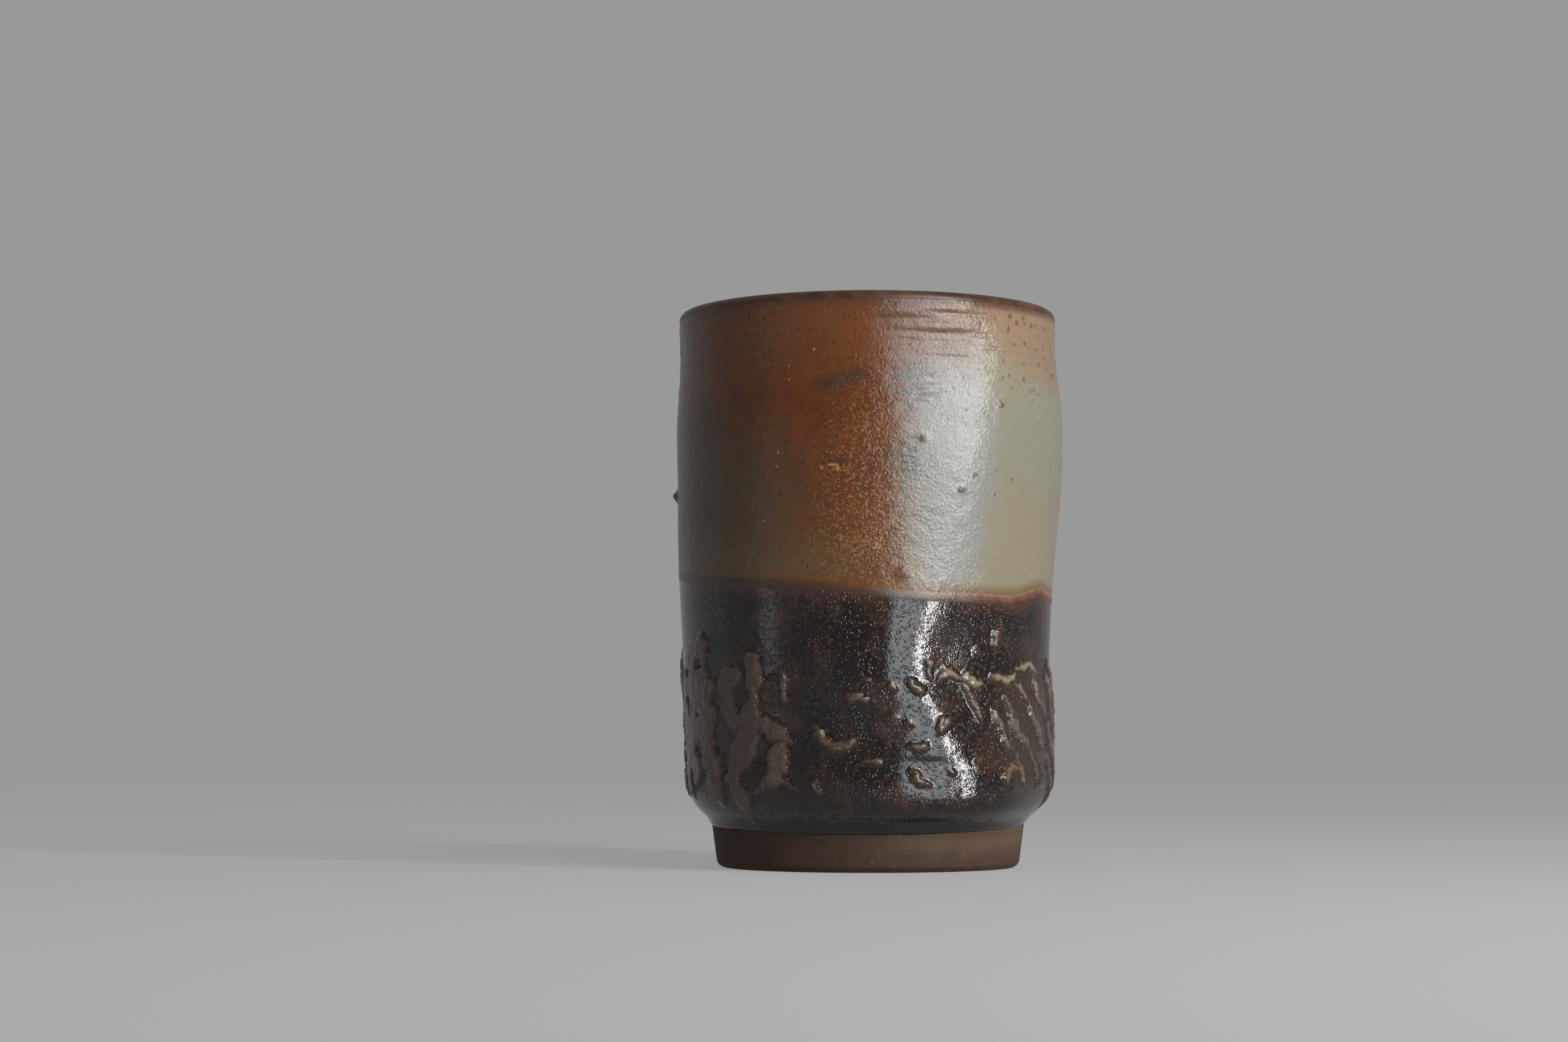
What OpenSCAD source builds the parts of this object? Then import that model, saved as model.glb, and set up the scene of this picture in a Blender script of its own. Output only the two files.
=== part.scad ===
// Yunomi tea cup: a thrown stoneware cylinder on a turned foot, glazed outside in two coats that
// meet on a slanting line, with short strokes of raised slip round the lower wall.
// Millimetres, +Z up, origin at the centre of the foot's base. Azimuths are degrees from the
// front (-Y) towards the right (+X). Diameters and heights are of the finished, glazed cup.

/* [Cup] */
// Height from the foot's base to the top of the lip
cup_h = 97.3; // [88:0.1:112]
// Diameter of the belly, the widest place
belly_d = 68; // [62:0.1:76]
// Depth of the belly below the top of the lip
belly_depth = 21.3; // [16:0.1:30]
// How far the slight neck below the lip lies inside the belly
neck_in = 0.85; // [0:0.05:2]
// Depth of the neck below the top of the lip
neck_depth = 7.3; // [5:0.1:12]
// How far the lip flares out from the neck
lip_flare = 0.05; // [-0.5:0.05:1]
// How far the waist, above the shoulder, lies inside the belly
waist_in = 1.9; // [0.5:0.1:3]
// Height of the waist above the foot's base
waist_h = 30; // [26:0.5:38]
// How far the top of the shoulder, where the wall turns under, lies inside the waist
shoulder_in = 0.25; // [0:0.05:1]
// Radius of the rounded shoulder
shoulder_r = 8; // [6.5:0.1:9]

/* [Inside] */
// Thickness of the lip, which is fully rounded
lip_t = 3; // [2.4:0.1:4]
// Thickness of the wall at the waist
wall_t = 4.2; // [3.4:0.1:5.5]
// Height of the inside floor above the foot's base
floor_h = 11.8; // [11:0.1:14]
// Radius of the round corner between the inside wall and floor
corner_r = 9; // [5:0.5:14]

/* [Foot] */
// How far the top of the foot lies inside the shoulder
foot_in = 4.35; // [3:0.05:6.5]
// How far the foot draws in from its top to its base
foot_taper = 1; // [0:0.1:2.5]
// Height of the foot, from its base to the body
foot_h = 8.95; // [7.5:0.05:10]
// Radius of the foot's rounded outer base edge
foot_edge_r = 1.6; // [0.8:0.1:2.4]
// Width of the ring that the cup stands on, over its rounded edges
ring_w = 6.5; // [5:0.1:9]
// Radius of the ring's inner base edge
ring_edge_r = 1; // [0.5:0.1:1.6]
// Depth of the turned recess inside the ring
recess_depth = 5.5; // [4.5:0.1:6]
// Slope of the recess wall from upright
recess_slope = 12; // [5:1:25]

/* [Glaze] */
// Thickness of every glaze coat
glaze_t = 0.5; // [0.3:0.05:0.7]
// Height of the line between the two outside coats, at the cup's axis
line_h = 48.9; // [44:0.1:60]
// Slant of that line
line_dip = 5.4; // [0:0.1:8]
// Azimuth of the line's lowest point
line_azimuth = 42; // [-180:1:180]
// Width of the bead where the coats overlap
bead_w = 1.6; // [1:0.1:2.5]
// How far the bead stands proud of the coats
bead_proud = 0.2; // [0.1:0.05:0.4]
// Height of the dark coat's lower edge on the foot, at the cup's axis
edge_h = 7.6; // [7:0.1:8.4]
// Slant of that lower edge
edge_dip = 2.5; // [0:0.1:3]
// Azimuth of the lower edge's lowest point
edge_azimuth = -6; // [-180:1:180]

/* [Slip strokes] */
// Height of the strokes above the dark coat
stroke_proud = 0.6; // [0.3:0.05:0.9]
// Height of the lowest row of strokes
stroke_low_h = 16.5; // [15:0.1:19]
// Spacing of the rows
row_step = 6.6; // [5.5:0.1:7]
// Number of rows
row_count = 3; // [1:1:3]
// Fewest places for a stroke across a panel of the wall
column_count = 3; // [2:1:4]
// Seed of the hand-trailed irregularity
stroke_seed = 7; // [1:1:99]

/* [Hidden] */

clay = "#6b5138";
liner = "#3a2418";
lip_brown = "#4a2a18";
upper_tan = "#8a6a45";
bead_red = "#6e3520";
dark_brown = "#241a16";
slip_tan = "#7d6a4a";

// Steps in a quarter turn of an outline, and in each stretch of the wall from the shoulder up
quarter_steps = 8;
stretch_steps = [3, 10, 5, 2];
// Steps along a stroke, and the bluntness of its ends, where 2 would be an ellipse
stroke_steps = 8;
stroke_bluntness = 3;
// Three ways of trailing slip: share of places filled, length, width, lean from level, spread of
// the lean, bend, weave, and places across a panel beyond column_count
ribbons = [0.9, 10, 3.4, 88, 16, 60, 45, 0];
hooks = [0.6, 3.6, 1.4, 40, 90, 170, 0, 1];
combing = [0.9, 8.5, 1.3, -58, 8, 30, 20, 2];
// The ways follow each other twice round the wall, in panels that no stroke crosses
panel_trails = [ribbons, ribbons, hooks, hooks, combing, combing];
panel_count = 2 * len(panel_trails);
panel_turn = 360 / panel_count;
panel_azimuth = -65;
panel_gap = 0.6;
// Shares by which scattered strokes stray from their place, length and width
place_spread = 0.25;
length_spread = 0.3;
width_spread = 0.25;
// Strokes placed by hand on the front: azimuth, height, length, width, lean, bend, weave
placed = [[-74, 22, 15, 3.4, 88, -30, 10],
          [-65, 30.5, 11, 3.8, 0, -80, 0],
          [-58.5, 23, 12, 3.2, 90, 30, 10],
          [-63, 36, 9, 3, 8, -50, 0],
          [-37, 28, 9, 2.3, 92, 10, 0],
          [-40, 20.5, 9, 2.6, 68, 30, 0],
          [-31, 23.5, 8, 2.8, -25, -40, 0],
          [-26, 31, 5.6, 1.3, 88, 20, 0],
          [-29, 13.8, 8.5, 1, 0, 0, 40],
          [-10, 23.4, 10, 1.7, -18, 135, 0],
          [26, 32.2, 5.5, 1.5, 0, -120, 0],
          [34, 32.6, 5, 1.5, -8, 90, 0],
          [34, 28.5, 7, 1.4, -56, 20, 0],
          [46, 33.2, 6.5, 1.5, 5, 70, 0],
          [58, 33.6, 8, 1.5, -5, -70, 0],
          [43, 39, 3.2, 1.3, 95, 0, 0],
          [48, 14.6, 9, 1.4, 0, -205, 0]];
// Distance that scattered strokes keep from the placed ones
stroke_clear = 3.4;
// Larger than the whole cup, for the half spaces that cut the coats
beyond = 4 * cup_h;

// Radii of the wall and the foot, from the belly
belly_r = belly_d / 2;
neck_r = belly_r - neck_in;
rim_r = neck_r + lip_flare;
waist_r = belly_r - waist_in;
shoulder_top_r = waist_r - shoulder_in;
foot_top_r = shoulder_top_r - foot_in;
foot_base_r = foot_top_r - foot_taper;
// Width of a panel of strokes, flat across the wall
panel_w = 2 * waist_r * sin(panel_turn / 2) - panel_gap;

// Places that follow from the sizes above
lip_r = lip_t / 2;
lip_centre = [rim_r - lip_r, cup_h - lip_r];
shoulder_clay_r = shoulder_r - glaze_t;
shoulder_x = shoulder_top_r - shoulder_r;
shoulder_turn = acos((foot_top_r - shoulder_x) / shoulder_clay_r);
shoulder_z = foot_h + shoulder_clay_r * sin(shoulder_turn);
neck_z = cup_h - neck_depth;
belly_z = cup_h - belly_depth;
corner_z = floor_h + corner_r;

// Eases from 0 to 1 with level ends
function ease(t) = t * t * (3 - 2 * t);
function between(z, z0, r0, z1, r1) = r0 + (r1 - r0) * ease((z - z0) / (z1 - z0));

// Outside radius of the glazed wall at a height between the shoulder and the lip
function wall_radius(z) =
    z < waist_h ? between(z, shoulder_z, shoulder_top_r, waist_h, waist_r) :
    z < belly_z ? between(z, waist_h, waist_r, belly_z, belly_r) :
    z < neck_z ? between(z, belly_z, belly_r, neck_z, neck_r) :
    between(z, neck_z, neck_r, lip_centre[1], rim_r);

// Finished thickness of the wall, which thins from the waist to the lip
function wall_thickness(z) =
    lip_t + (wall_t - lip_t) * min(1, (lip_centre[1] - z) / (lip_centre[1] - waist_h));
function inside_radius(z) = wall_radius(z) - wall_thickness(z);

function arc(centre, r, a0, a1, steps) =
    [for (i = [0 : steps]) let (a = a0 + (a1 - a0) * i / steps) centre + r * [cos(a), sin(a)]];
function reversed(path) = [for (i = [len(path) - 1 : -1 : 0]) path[i]];
function inner(path) = [for (i = [1 : len(path) - 2]) path[i]];

// A path moved sideways by d, to the right of the way it runs
function moved(path, d) =
    [for (i = [0 : len(path) - 1])
        let (a = path[max(i - 1, 0)],
             b = path[min(i + 1, len(path) - 1)],
             along = (b - a) / norm(b - a))
        path[i] + d * [along[1], -along[0]]];

// Heights at which the wall's outline bends, from above the shoulder to the lip
places = [shoulder_z, waist_h, belly_z, neck_z, lip_centre[1]];
wall_heights = [for (k = [0 : len(stretch_steps) - 1], i = [1 : stretch_steps[k]])
    places[k] + (places[k + 1] - places[k]) * i / stretch_steps[k]];

// Outside of the cup from the shoulder's lower end up to the lip; inset takes it into the clay
function outside_path(inset) =
    concat(arc([shoulder_x, shoulder_z], shoulder_r - inset, -shoulder_turn, 0, quarter_steps),
           [for (z = wall_heights) [wall_radius(z) - inset, z]]);

// Inside of the cup from the lip down to the middle of the floor; inset takes it into the clay
function inside_path(inset) =
    concat([for (z = reversed(wall_heights)) if (z > corner_z) [inside_radius(z) + inset, z]],
           arc([inside_radius(corner_z) - corner_r, corner_z], corner_r + inset, 0, -90, quarter_steps),
           [[0, floor_h - inset]]);

// Side of the foot from its top down to its rounded base edge
function foot_radius(z) = foot_base_r + foot_taper * (z - foot_edge_r) / (foot_h - foot_edge_r);

// Everything above a slanting plane that crosses the axis at height h
module above(h, dip, azimuth)
    translate([0, 0, h])
        rotate([0, 0, azimuth - 90])
            rotate([0, dip, 0])
                translate([-beyond / 2, -beyond / 2, 0])
                    cube(beyond);

// The thrown cup without its foot: wall, rounded lip, shoulder and floor in one piece of clay
module clay_body()
    color(clay)
        rotate_extrude($fn = 96)
            polygon(concat([[0, foot_h]],
                           outside_path(glaze_t),
                           inner(arc(lip_centre, lip_r - glaze_t, 0, 180, 2 * quarter_steps)),
                           inside_path(glaze_t)));

// The turned foot: a tapered ring round a recess, left as bare clay
module foot_ring() {
    ring_inner_r = foot_base_r - ring_w;
    recess_r = ring_inner_r - (recess_depth - ring_edge_r) * tan(recess_slope);
    color(clay)
        rotate_extrude($fn = 96)
            polygon(concat([[0, recess_depth], [recess_r, recess_depth]],
                           arc([ring_inner_r + ring_edge_r, ring_edge_r], ring_edge_r, 180, 270,
                               quarter_steps),
                           arc([foot_base_r - foot_edge_r, foot_edge_r], foot_edge_r, -90, 0,
                               quarter_steps),
                           [[foot_top_r, foot_h], [0, foot_h]]));
}

// The coat inside the cup, from the lip to the floor
module liner_glaze()
    color(liner)
        rotate_extrude($fn = 96)
            polygon(concat(inside_path(0), reversed(inside_path(glaze_t))));

// The brown coat over the lip
module lip_glaze()
    color(lip_brown)
        rotate_extrude($fn = 96)
            polygon(concat(arc(lip_centre, lip_r, 0, 180, 2 * quarter_steps),
                           arc(lip_centre, lip_r - glaze_t, 180, 0, 2 * quarter_steps)));

// The whole outside coat before it is divided: up the foot's top, round the shoulder to the lip
module outside_coat(proud) {
    apron_z = edge_h / 2;
    apron_clay = [[foot_radius(apron_z), apron_z]];
    apron = [apron_clay[0] + [glaze_t, 0]];
    rotate_extrude($fn = 96)
        polygon(concat(apron,
                       moved(outside_path(0), proud),
                       reversed(outside_path(glaze_t)),
                       apron_clay));
}

// The ash-coloured coat of the upper wall
module upper_glaze()
    color(upper_tan)
        intersection() {
            outside_coat(0);
            above(line_h + bead_w / 2, line_dip, line_azimuth);
        }

// The thickened line where the two outside coats overlap
module glaze_bead()
    color(bead_red)
        difference() {
            intersection() {
                outside_coat(bead_proud);
                above(line_h - bead_w / 2, line_dip, line_azimuth);
            }
            above(line_h + bead_w / 2, line_dip, line_azimuth);
        }

// The dark coat of the lower wall, shoulder and top of the foot
module dark_glaze()
    color(dark_brown)
        difference() {
            intersection() {
                outside_coat(0);
                above(edge_h, edge_dip, edge_azimuth);
            }
            above(line_h - bead_w / 2, line_dip, line_azimuth);
        }

// The layer that the strokes are cut from: the lower wall's skin, one stroke thick
module stroke_layer() {
    top_z = line_h - tan(line_dip) * belly_r - bead_w;
    skin = [for (p = outside_path(0)) if (p[1] < top_z) p];
    rotate_extrude($fn = 96)
        polygon(concat(skin, reversed(moved(skin, stroke_proud))));
}

// Share of a stroke's length that lies before a step; the steps are shortest at its round ends
function share(i) = (1 - cos(180 * i / stroke_steps)) / 2;

// Centre line of a stroke: it leans from level, turns through bend and weaves once along its length
function stroke_line(length, lean, bend, weave) =
    let (leg = function (t0, t1)
             let (t = (t0 + t1) / 2, heading = lean + bend * (t - 0.5) + weave * sin(360 * t))
             length * (t1 - t0) * [cos(heading), sin(heading)])
    [for (i = 0, p = [0, 0];
          i <= stroke_steps;
          p = p + leg(share(i), share(i + 1)), i = i + 1) p];

// Outline of a blunt-ended stroke, centred on the middle of its ends
function stroke_outline(length, width, lean, bend, weave) =
    let (line = stroke_line(length, lean, bend, weave),
         middle = (line[0] + line[stroke_steps]) / 2,
         half = function (i)
             width / 2 * sqrt(1 - pow(abs(2 * share(i) - 1), stroke_bluntness)),
         side = function (s) [for (i = [1 : stroke_steps - 1])
             let (along = line[i + 1] - line[i - 1])
             line[i] - middle + s * half(i) * [-along[1], along[0]] / norm(along)])
    concat([line[0] - middle], side(-1), [line[stroke_steps] - middle], reversed(side(1)));

// Places of the placed strokes in a panel, across it from its middle and up
function placed_in(panel) =
    [for (p = placed)
        let (turn = p[0] - panel_azimuth - panel * panel_turn)
        if (abs(turn) < panel_turn / 2)
            concat([waist_r * sin(turn)], [for (i = [1 : len(p) - 1]) p[i]])];

// Strokes scattered over a panel, each in its place of a staggered grid, clear of the placed ones
function scattered_in(panel) =
    let (trail = panel_trails[panel % len(panel_trails)],
         columns = column_count + trail[7],
         column_step = (panel_w - trail[2]) / columns,
         draws = 7,
         chance = rands(-1, 1, draws * columns * row_count, stroke_seed + panel))
    [for (column = [0 : columns - 1], row = [0 : row_count - 1])
        let (draw = [for (i = [0 : draws - 1]) chance[draws * (column * row_count + row) + i]],
             x = column_step * (column - (columns - 1) / 2 + place_spread * draw[1]),
             z = stroke_low_h + row_step * (row + (column % 2) / 2 + place_spread * draw[2]),
             near = [for (p = placed_in(panel)) if (norm([x - p[0], z - p[1]]) < stroke_clear) p])
        if (draw[0] < 2 * trail[0] - 1 && len(near) == 0)
            [x, z, trail[1] * (1 + length_spread * draw[3]), trail[2] * (1 + width_spread * draw[4]),
             trail[3] + trail[4] * draw[5], trail[5] * draw[6], trail[6] * draw[3]]];

// The outlines of a panel's strokes, joined where they cross
module panel_outline(panel)
    intersection() {
        translate([-panel_w / 2, 0])
            square([panel_w, cup_h]);
        for (p = concat(placed_in(panel), scattered_in(panel)))
            translate([p[0], p[1]])
                polygon(stroke_outline(p[2], p[3], p[4], p[5], p[6]));
    }

// Strokes of trailed slip, standing on the dark coat
module slip_strokes()
    color(slip_tan)
        for (panel = [0 : panel_count - 1])
            intersection() {
                stroke_layer();
                rotate([0, 0, panel_azimuth + panel * panel_turn - 90])
                    translate([shoulder_x, 0, 0])
                        rotate([90, 0, 90])
                            linear_extrude(belly_r)
                                panel_outline(panel);
            }

clay_body();
foot_ring();
liner_glaze();
lip_glaze();
upper_glaze();
glaze_bead();
dark_glaze();
slip_strokes();
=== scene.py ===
# %% [markdown]
# # A hand-thrown stoneware tea cup
# The cup is one fired piece, made in stages that can still be told apart: a thrown wall, a turned
# foot, a glaze inside, a brown lip, an ash coat above and a dark iron coat below, and strokes of slip
# that were trailed on the wall before it was glazed. The frame holds each stage as an exact solid.
# This script keeps those places and sizes and adds what a solid of revolution lacks: the lean of a
# soft wall, wavy glaze edges, slip that has melted into the glaze, and the finishes themselves.

# %% Load the frame
import math

import bmesh
import bpy
import numpy as np
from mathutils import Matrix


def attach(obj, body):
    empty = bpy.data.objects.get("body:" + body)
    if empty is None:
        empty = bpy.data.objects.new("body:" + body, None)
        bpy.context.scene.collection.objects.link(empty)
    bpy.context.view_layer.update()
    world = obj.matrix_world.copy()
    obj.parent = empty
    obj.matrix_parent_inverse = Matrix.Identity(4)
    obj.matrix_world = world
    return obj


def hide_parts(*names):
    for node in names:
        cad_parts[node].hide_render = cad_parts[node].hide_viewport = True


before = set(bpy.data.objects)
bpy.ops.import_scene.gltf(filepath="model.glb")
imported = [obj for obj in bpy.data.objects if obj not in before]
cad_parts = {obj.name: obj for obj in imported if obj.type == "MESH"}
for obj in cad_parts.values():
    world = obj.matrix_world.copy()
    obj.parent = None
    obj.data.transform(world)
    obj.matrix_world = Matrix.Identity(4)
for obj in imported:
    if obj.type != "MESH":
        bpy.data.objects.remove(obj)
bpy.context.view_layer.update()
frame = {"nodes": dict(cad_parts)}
scene = bpy.context.scene
mm = 0.001
hair = 0.001 * mm
print("nodes of the frame:", ", ".join(frame["nodes"]))

# %% [markdown]
# The photograph was taken from low down, a little above the height of the foot, with a long lens.
# From there the front of the lip arches upwards. The camera stands on the cup's front side, turned a
# little to the left and tipped up by a few degrees, so that the cup sits right of the middle.

# %% Camera
camera_stand = (0, -0.5576, 0.0231)
tipped_up, turned_left = 3.86, 1.51
camera = bpy.data.objects.new("camera", bpy.data.cameras.new("camera"))
scene.collection.objects.link(camera)
camera.data.sensor_fit = "HORIZONTAL"
camera.data.sensor_width = 36
camera.data.lens = 72.7
camera.data.clip_start = 0.01
camera.location = camera_stand
camera.rotation_euler = (math.radians(90 + tipped_up), 0, math.radians(turned_left))
scene.camera = camera
print("camera stands", round(camera.location.length / mm), "mm from the cup")

# %% [markdown]
# A formula such as radius times sine is clearer as a formula than as a list of nodes and links. `Wire`
# stands for the output of a node and takes the signs of arithmetic, `put` adds a node and feeds it, and
# both serve geometry trees and materials alike, because the maths nodes are the same in both.

# %% Formulas on wires
class Wire:
    """The output of a node, on which arithmetic adds further nodes to its tree."""

    def __init__(self, tree, socket):
        self.tree = tree
        self.socket = socket

    def math(self, operation, *others):
        return put(self.tree, "ShaderNodeMath", self, *others, operation=operation)

    def __add__(self, other):
        return self.math("ADD", other)

    def __sub__(self, other):
        return self.math("SUBTRACT", other)

    def __rsub__(self, other):
        return put(self.tree, "ShaderNodeMath", other, self, operation="SUBTRACT")

    def __mul__(self, other):
        return self.math("MULTIPLY", other)

    def __truediv__(self, other):
        return self.math("DIVIDE", other)

    def __rtruediv__(self, other):
        return put(self.tree, "ShaderNodeMath", other, self, operation="DIVIDE")

    __radd__ = __add__
    __rmul__ = __mul__

    def rise(self, start, end):
        """Eases from 0 at start to 1 at end, and stays there."""
        return put(self.tree, "ShaderNodeMapRange", self, start, end,
                   interpolation_type="SMOOTHSTEP")

    def hill(self, width):
        """1 at nought, falling off to both sides like a bell."""
        share = self / width
        return (share * share * -1.0).math("EXPONENT")

    def vector(self, operation, other, out=0):
        return put(self.tree, "ShaderNodeVectorMath", self, other, out=out, operation=operation)

    def scaled(self, factor):
        return put(self.tree, "ShaderNodeVectorMath", self, named={"Scale": factor}, operation="SCALE")

    def parts(self):
        node = put(self.tree, "ShaderNodeSeparateXYZ", self).socket.node
        return [Wire(self.tree, socket) for socket in node.outputs]


def put(tree, kind, *values, out=0, named=(), **choices):
    """Adds a node, sets its choices, feeds its inputs in order or by name, and gives an output."""
    node = tree.nodes.new(kind)
    for name, choice in choices.items():
        setattr(node, name, choice)
    for place, value in list(enumerate(values)) + list(dict(named).items()):
        if isinstance(value, Wire):
            tree.links.new(value.socket, node.inputs[place])
        elif value is not None:
            node.inputs[place].default_value = value
    return Wire(tree, node.outputs[out])


def join(x, y, z):
    tree = next(part.tree for part in (x, y, z) if isinstance(part, Wire))
    return put(tree, "ShaderNodeCombineXYZ", x, y, z)


def noise(place, size, seed, detail=2.0, out=0):
    """Soft noise round a half, whose lumps are about the given size."""
    return put(place.tree, "ShaderNodeTexNoise", place, seed, 1 / size, detail, out=out,
               noise_dimensions="4D")


def begin_tree(name, kind, inputs, outputs):
    """A node tree with named sockets, each with its default value or the kind of thing it takes."""
    tree = bpy.data.node_groups.new(name, kind)
    kinds = {int: "Int", float: "Float", tuple: "Vector"}
    for title, value in inputs.items():
        kind_of = value if isinstance(value, str) else kinds[type(value)]
        socket = tree.interface.new_socket(title, in_out="INPUT", socket_type="NodeSocket" + kind_of)
        if not isinstance(value, str):
            socket.default_value = value
    for title, kind_of in outputs.items():
        tree.interface.new_socket(title, in_out="OUTPUT", socket_type="NodeSocket" + kind_of)
    entry = tree.nodes.new("NodeGroupInput")
    return tree, {title: Wire(tree, entry.outputs[title]) for title in inputs}


def end_tree(tree, **results):
    """Joins wires to the tree's named outputs."""
    last = tree.nodes.new("NodeGroupOutput")
    for title, wire in results.items():
        tree.links.new(wire.socket, last.inputs[title.replace("_", " ")])


def use(tree, group, named=()):
    """Places a group in a tree, feeds it by name and gives its outputs by name."""
    kind = group.bl_idname.replace("Tree", "Group")
    node = put(tree, kind, named=named, node_tree=group).socket.node
    return {socket.name: Wire(tree, socket) for socket in node.outputs}


print("helpers are ready")

# %% [markdown]
# The shapes start from the frame. Where a plane through the axis cuts a turned solid lies its outline,
# which can be turned again with a finer surface. The two outside coats share one outline, the wall of
# the cup, and are divided by slanting cuts. The wall's radius is read from the rings of corners on
# their outward faces, and each cut from the corners of its own face.

# %% Outlines of the solids
def triangles(node):
    """The triangles of a solid as corners, with their unit normals."""
    mesh = frame["nodes"][node].data
    places = np.empty(len(mesh.vertices) * 3)
    mesh.vertices.foreach_get("co", places)
    numbers = np.empty(len(mesh.loops), int)
    mesh.loops.foreach_get("vertex_index", numbers)
    corners = places.reshape(-1, 3)[numbers].reshape(-1, 3, 3)
    normals = np.cross(corners[:, 1] - corners[:, 0], corners[:, 2] - corners[:, 0])
    return corners, normals / np.linalg.norm(normals, axis=1, keepdims=True)


def outside_rings(node, fewest):
    """Height and radius of each ring of corners on the outward faces of a solid."""
    corners, normals = triangles(node)
    middles = corners.mean(axis=1)[:, :2]
    outward = (normals[:, :2] * middles).sum(axis=1) / np.hypot(*middles.T)
    places = corners[outward > 0.3].reshape(-1, 3)
    rings = {}
    for x, y, z in places:
        rings.setdefault(round(z / mm, 2), []).append(math.hypot(x, y))
    return {height * mm: np.mean(radii) for height, radii in rings.items() if len(radii) > fewest}


def cut_plane(node, way):
    """The slanting cut at the top (way 1) or bottom (way -1) of a coat: height at the axis, slopes."""
    corners, normals = triangles(node)
    places = corners[normals[:, 2] * way > 0.95].reshape(-1, 3)
    sides = np.column_stack([np.ones(len(places)), places[:, 0], places[:, 1]])
    return tuple(float(value) for value in np.linalg.lstsq(sides, places[:, 2], rcond=None)[0])


def section(node):
    """Outline of a turned solid from the axis round to the axis, as radii and heights."""
    solid = bmesh.new()
    solid.from_mesh(frame["nodes"][node].data)
    bmesh.ops.remove_doubles(solid, verts=solid.verts, dist=hair)
    for normal, halve in (((1, 0, 0), True), ((0, 1, 0), False)):
        everything = solid.verts[:] + solid.edges[:] + solid.faces[:]
        cut = bmesh.ops.bisect_plane(solid, geom=everything, dist=hair, plane_co=(0, 0, 0),
                                     plane_no=normal, clear_inner=halve)["geom_cut"]
    links = {}
    for edge in cut:
        if isinstance(edge, bmesh.types.BMEdge):
            for here, there in (edge.verts, reversed(edge.verts)):
                links.setdefault(here, []).append(there)
    ends = [corner for corner, near in links.items() if len(near) == 1]
    path = [ends[0] if ends else next(iter(links))]
    while ahead := [corner for corner in links[path[-1]] if corner not in path[-2:-1]]:
        path.append(ahead[0])
        if path[-1] == path[0]:
            break
    outline = np.array([(corner.co.x, corner.co.z) for corner in path])
    solid.free()
    area = np.sum(outline[:-1, 0] * outline[1:, 1] - outline[1:, 0] * outline[:-1, 1])
    closing = outline[-1, 0] * outline[0, 1] - outline[0, 0] * outline[-1, 1]
    return outline if area + closing > 0 else outline[::-1]


def strand(name, outline):
    """An outline as a string of corners that a node tree can read: radius along X, height along Z."""
    mesh = bpy.data.meshes.new(name)
    steps = [(i, i + 1) for i in range(len(outline) - 1)]
    mesh.from_pydata([(radius, 0, height) for radius, height in outline], steps, [])
    held = bpy.data.objects.new(name, mesh)
    scene.collection.objects.link(held)
    return held


print("rings, cuts and sections of the solids can be read")

# %% [markdown]
# The wall's outline gets a corner at every tenth of a millimetre, and its creases are softened a little,
# because thrown clay under a glaze has none. Below the last whole ring the coat's slanting edge cuts
# across the apron over the foot, which is straight there and is carried on by its slope. The thickness
# of the coats and the height of the slip are read from the solids as well.

# %% The outline of the wall
wall_step = 0.1 * mm
wall_softness = 1.2 * mm
full_ring = 300
rings = outside_rings("dark_glaze", full_ring) | outside_rings("upper_glaze", full_ring)
edge_rings = outside_rings("dark_glaze", 0)
crease = min(rings)
apron = np.polyfit(*np.array([(z, r) for z, r in edge_rings.items() if z < crease]).T, 1)
apron_low = crease - 4 * mm
rings[apron_low] = np.polyval(apron, apron_low)
heights = np.arange(apron_low, max(rings), wall_step)
radii = np.interp(heights, sorted(rings), [rings[z] for z in sorted(rings)])
softening = 2 * round(wall_softness / wall_step / 2) + 1
for _ in range(2):
    padded = np.pad(radii, softening // 2, mode="reflect", reflect_type="odd")
    radii = np.convolve(padded, np.ones(softening) / softening, mode="valid")
wall = strand("wall outline", np.column_stack([radii, heights]))
clay_rings = outside_rings("clay_body", full_ring)
clay_radii = np.interp(heights, sorted(clay_rings), [clay_rings[z] for z in sorted(clay_rings)])
coat_thickness = float(np.median(radii - clay_radii))
stroke_corners = triangles("slip_strokes")[0].reshape(-1, 3)
stroke_radii = np.hypot(stroke_corners[:, 0], stroke_corners[:, 1])
slip_rise = float(np.percentile(stroke_radii - np.interp(stroke_corners[:, 2], heights, radii), 95))
print("wall from", round(heights[0] / mm, 1), "to", round(heights[-1] / mm, 1), "mm high; coat",
      round(coat_thickness / mm, 2), "mm thick; slip", round(slip_rise / mm, 2), "mm high")

# %% [markdown]
# No thrown wall is a perfect solid of revolution. It leans a little to and fro where the potter's hands
# stopped. At the front right, where it was held while soft, it is twisted first one way and then the
# other, draws in above and swells below, and its lower edge bulges in two low pads. That is why the
# window's reflection runs in an S there. One small geometry tree holds that hand, and every piece passes
# through it, so that coats, clay and lip stay together. The rim and the foot, trued last, stay put.
#
# The lists go by height in millimetres: the lean, the slope of the twist, the line that it turns about
# in degrees round from the front, and the swell. A pad has a lift, an azimuth, a width, its height on
# the wall and a height of its own.

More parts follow.
